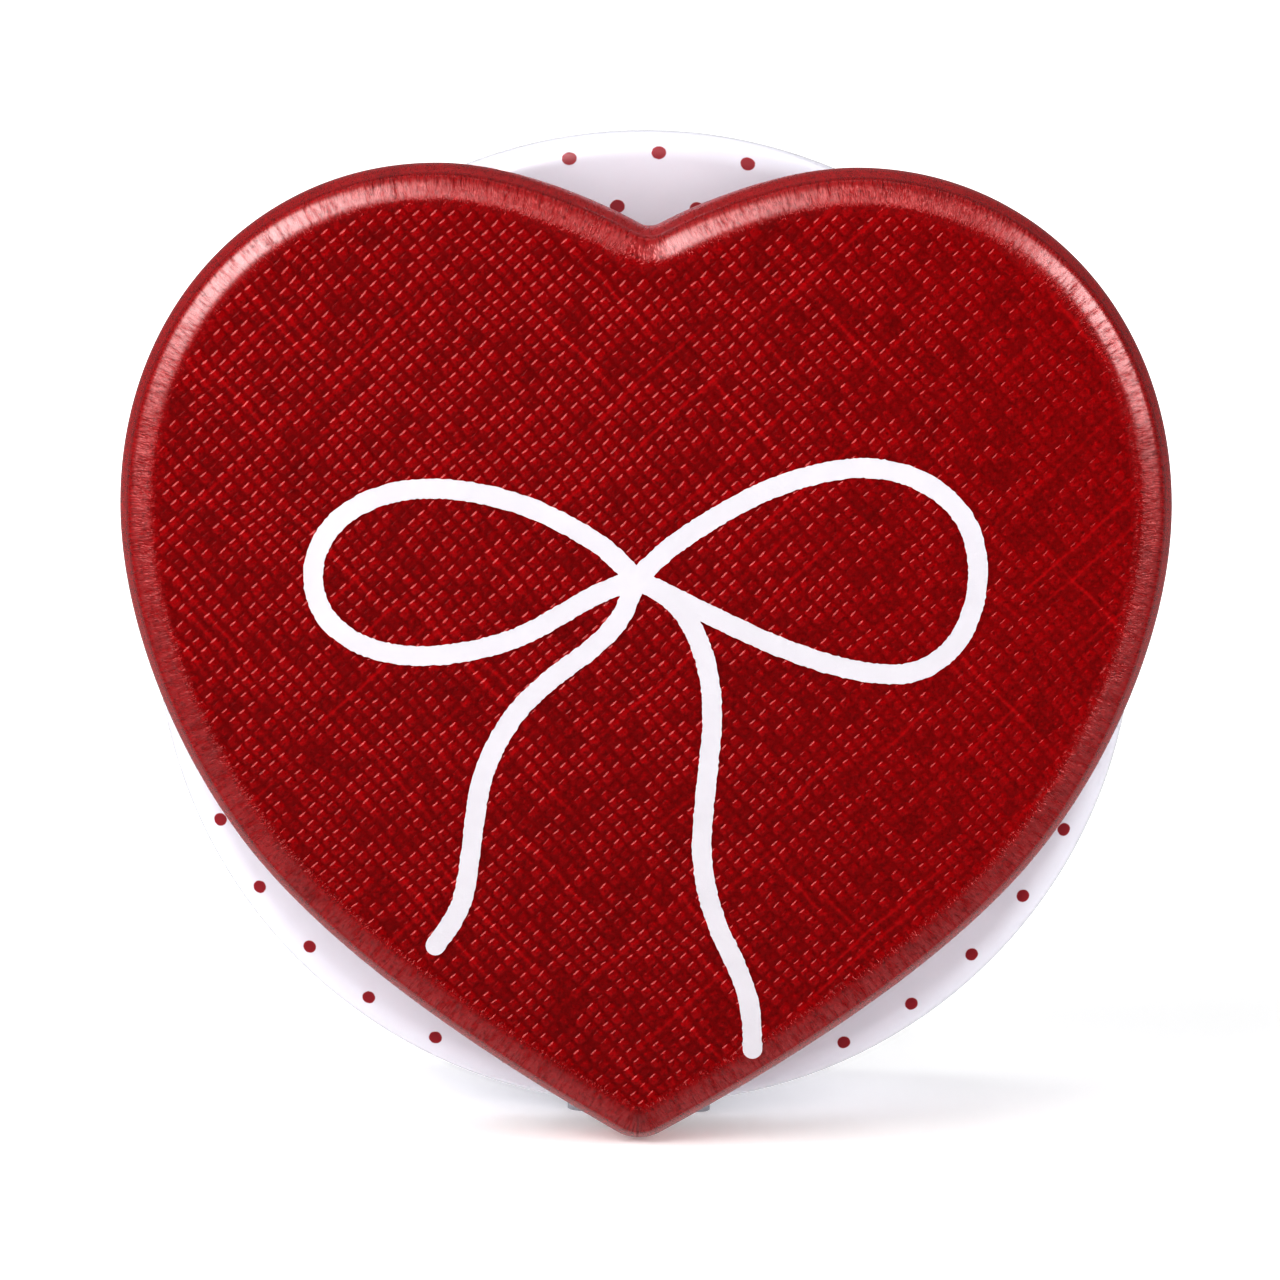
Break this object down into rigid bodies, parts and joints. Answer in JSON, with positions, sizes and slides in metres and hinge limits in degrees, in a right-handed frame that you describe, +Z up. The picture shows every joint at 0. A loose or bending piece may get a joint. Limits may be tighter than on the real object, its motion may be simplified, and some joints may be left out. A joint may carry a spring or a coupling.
{
  "type": "wind-up music box",
  "caption": "Heart-faced wind-up music box: an embossed red heart with a raised bow line, on a round dotted drum that holds a comb movement, with a rear key and wire stand.",
  "frame": {"origin": "centre of the bounding box's base, on the surface that the box stands on", "axes": "+X to the right of someone facing the heart, +Y from the heart's face to the key, +Z up"},
  "size_m": [0.1062, 0.0782, 0.1026],
  "materials": {
    "red_leatherette": "woven emboss",
    "board": "pressed board",
    "white_print": "raised print",
    "dotted_shell": "glossy, printed dots",
    "milky_cover": "glossy",
    "rubber": "matt",
    "clear_rubber": "clear, milky",
    "steel": "satin",
    "brass": "satin",
    "cast_zinc": "as cast",
    "chrome": "polished",
    "grey_plastic": "matt"
  },
  "bodies": {
    "case": {"heart_cover": "red_leatherette", "heart_board": "board", "bow_print": "white_print", "mounting_disc": "grey_plastic", "heart_screw_1": "steel", "heart_screw_2": "steel", "heart_screw_3": "steel", "drum_front_shell": "dotted_shell", "rear_cover": "milky_cover", "case_screw_1": "steel", "case_screw_2": "steel", "case_screw_3": "steel", "case_screw_4": "steel", "base_foot": "clear_rubber", "bedplate": "cast_zinc", "movement_screw_1": "steel", "movement_screw_2": "steel", "movement_screw_3": "steel", "movement_screw_4": "steel", "barrel_bridge": "brass", "bridge_screw_1": "steel", "bridge_screw_2": "steel", "cylinder_bearing": "brass", "comb": "steel", "comb_screw_1": "steel", "comb_screw_2": "steel", "governor_frame": "brass", "governor_screw": "steel", "arbor_bush": "brass", "click_screw": "steel", "click_spring": "steel", "spring_screw": "steel"},
    "winder": {"winding_key": "chrome", "winding_arbor": "steel", "ratchet_wheel": "steel"},
    "click": {"click": "steel"},
    "barrel": {"spring_barrel": "brass", "barrel_cover": "brass", "mainspring": "steel"},
    "cylinder": {"cylinder": "brass", "cylinder_shaft": "steel", "cylinder_pinion": "steel", "cylinder_wheel": "brass"},
    "governor": {"governor_pinion": "steel", "governor_wheel": "brass"},
    "fan": {"fan_worm": "steel", "governor_fan": "grey_plastic"},
    "stop": {"stop_slider": "grey_plastic", "stop_wire": "steel"},
    "stand": {"stand_bail": "chrome", "stand_grip": "rubber"}
  },
  "joints": [
    {"name": "cylinder_turn", "type": "hinge", "parent": "case", "child": "cylinder", "pos_m": [0, -0.01115, 0.0268], "axis": [0, 0, 1], "continuous": true},
    {"name": "barrel_turn", "type": "hinge", "parent": "case", "child": "barrel", "pos_m": [0, -0.00695, 0.0518], "axis": [0, 1, 0], "continuous": true},
    {"name": "governor_turn", "type": "hinge", "parent": "case", "child": "governor", "pos_m": [-0.0072, -0.01115, 0.0138], "axis": [0, 0, 1], "continuous": true},
    {"name": "fan_turn", "type": "hinge", "parent": "case", "child": "fan", "pos_m": [-0.0133, -0.01115, 0.0133], "axis": [0, 1, 0], "continuous": true},
    {"name": "key_turn", "type": "hinge", "parent": "case", "child": "winder", "pos_m": [0, 0.00355, 0.0518], "axis": [0, 1, 0], "continuous": true},
    {"name": "click_lift", "type": "hinge", "parent": "case", "child": "click", "pos_m": [-0.0092, -0.00095, 0.0448], "axis": [0, -1, 0], "range_deg": [0, 10], "stiffness_Nm_per_rad": 0.002, "springref_deg": -5.73},
    {"name": "stop_slide", "type": "slide", "parent": "case", "child": "stop", "axis": [1, 0, 0], "range_m": [0, 0.0034]},
    {"name": "stand_fold", "type": "hinge", "parent": "case", "child": "stand", "pos_m": [0, 0.00675, 0.03], "axis": [1, 0, 0], "range_deg": [0, 132]}
  ],
  "couplings": [
    {"joint": "barrel_turn", "follows": "cylinder_turn", "ratio": 0.20833},
    {"joint": "governor_turn", "follows": "cylinder_turn", "ratio": -5},
    {"joint": "fan_turn", "follows": "cylinder_turn", "ratio": 120}
  ]
}
